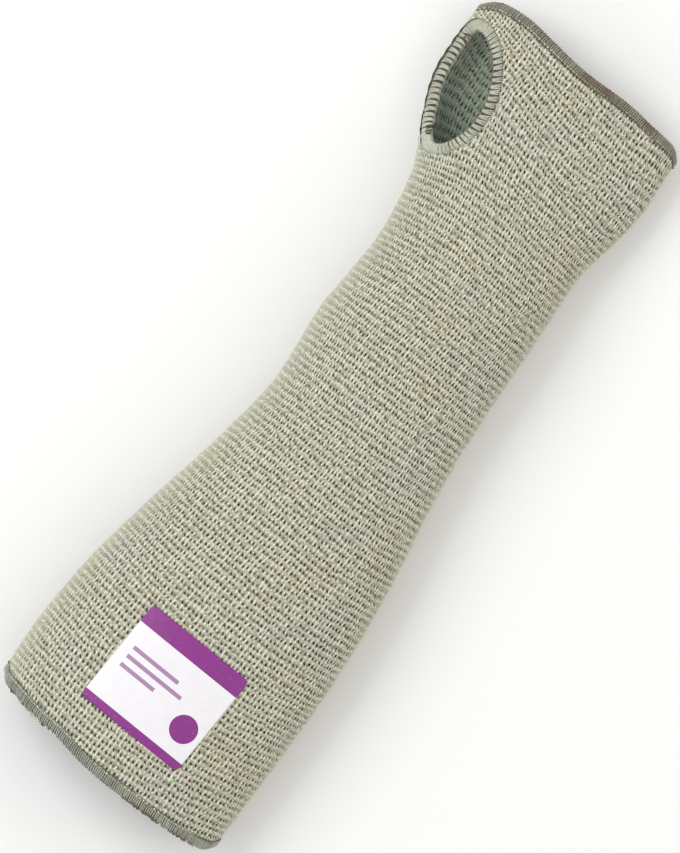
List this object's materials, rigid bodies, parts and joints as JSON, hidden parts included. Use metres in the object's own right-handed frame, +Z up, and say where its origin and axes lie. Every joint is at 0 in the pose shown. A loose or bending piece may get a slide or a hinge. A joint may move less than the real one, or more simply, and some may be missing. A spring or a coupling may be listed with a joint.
{
  "type": "cut resistant knitted forearm sleeve with thumb hole",
  "caption": "Seamless knitted cut resistant sleeve from palm to elbow, lying flat, with a bound thumb hole, overlocked hems and a film label.",
  "frame": {"origin": "on the surface that the sleeve lies on, under the middle of the sleeve's box", "axes": "+Z up, +Y along the sleeve towards the hand end, thumb hole on the -X side"},
  "size_m": [0.1178, 0.3668, 0.0498],
  "materials": {
    "knit_yarn": "knitted",
    "hem_thread": "overlocked",
    "binding_thread": "overlocked",
    "label_film": "satin"
  },
  "bodies": {
    "root": {"knit_tube": "knit_yarn", "arm_hem": "hem_thread", "hand_hem": "hem_thread", "thumb_binding": "binding_thread", "size_label": "label_film"}
  },
  "joints": []
}
